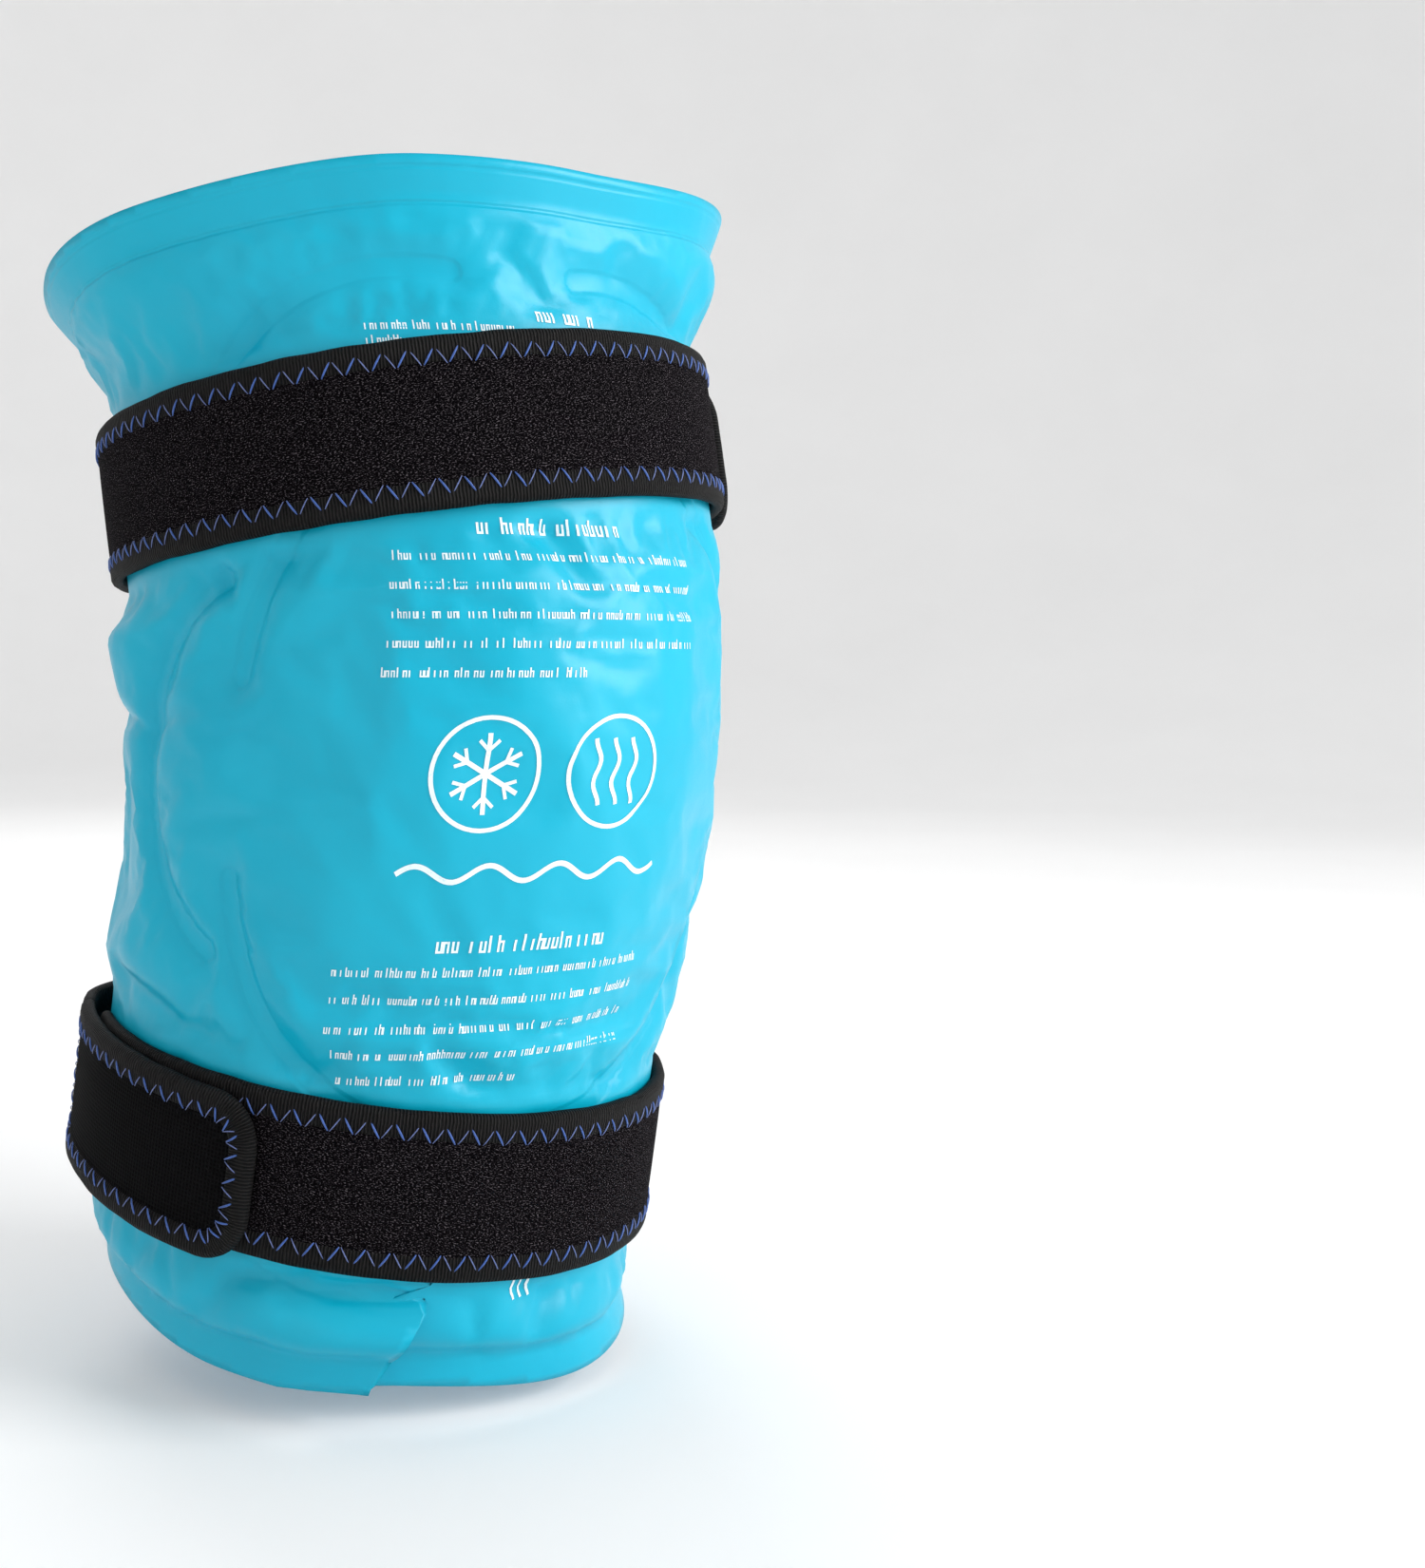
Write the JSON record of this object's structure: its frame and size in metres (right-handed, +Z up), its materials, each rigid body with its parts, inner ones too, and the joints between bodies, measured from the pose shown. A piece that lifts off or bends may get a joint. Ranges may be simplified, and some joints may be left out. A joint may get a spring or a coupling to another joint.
{
  "type": "cold compression wrap",
  "caption": "Tubular gel pack for the knee with thin slotted ears, closed behind the leg by crossing loop straps with hook tabs.",
  "frame": {"origin": "centre of the leg passage at the middle of the pack's height", "axes": "+Z up along the leg towards the thigh, -Y towards the kneecap, +X to the right when the front is looked at"},
  "size_m": [0.1759, 0.155, 0.2793],
  "materials": {
    "pack_film": "satin blue film",
    "gel": "soft water gel",
    "plush": "short sky-blue plush",
    "strap_foam": "thin foam",
    "loop_fabric": "fuzzy black loop pile",
    "strap_backing": "smooth black knit",
    "edge_tape": "ribbed black binding",
    "thread": "blue zigzag stitching",
    "tab_fabric": "fine black weave",
    "hook_tape": "fine plastic hooks"
  },
  "bodies": {
    "pack": {"outer_shell": "pack_film", "gel_fill": "gel", "inner_lining": "plush"},
    "upper_strap": {"upper_strap_foam_core": "strap_foam", "upper_strap_loop_face": "loop_fabric", "upper_strap_back_face": "strap_backing", "upper_strap_edge_tape": "edge_tape", "upper_strap_thread": "thread"},
    "upper_tab": {"upper_tab_panel": "tab_fabric", "upper_tab_hook_patch": "hook_tape", "upper_tab_edge_tape": "edge_tape", "upper_tab_thread": "thread"},
    "lower_strap": {"lower_strap_foam_core": "strap_foam", "lower_strap_loop_face": "loop_fabric", "lower_strap_back_face": "strap_backing", "lower_strap_edge_tape": "edge_tape", "lower_strap_thread": "thread"},
    "lower_tab": {"lower_tab_panel": "tab_fabric", "lower_tab_hook_patch": "hook_tape", "lower_tab_edge_tape": "edge_tape", "lower_tab_thread": "thread"}
  },
  "joints": [
    {"name": "upper_strap_shift", "type": "slide", "parent": "pack", "child": "upper_strap", "axis": [-0.0892, 0.0991, 0.9911], "range_m": [-0.003, 0.003]},
    {"name": "upper_tab_peel", "type": "hinge", "parent": "upper_strap", "child": "upper_tab", "pos_m": [0.08064, 0.01727, 0.07924], "axis": [-0.0892, 0.0991, 0.9911], "range_deg": [0, 100]},
    {"name": "lower_strap_shift", "type": "slide", "parent": "pack", "child": "lower_strap", "axis": [0.0892, -0.0991, 0.9911], "range_m": [-0.003, 0.003]},
    {"name": "lower_tab_peel", "type": "hinge", "parent": "lower_strap", "child": "lower_tab", "pos_m": [-0.08401, 0.01018, -0.07913], "axis": [-0.0892, 0.0991, -0.9911], "range_deg": [0, 100]}
  ]
}
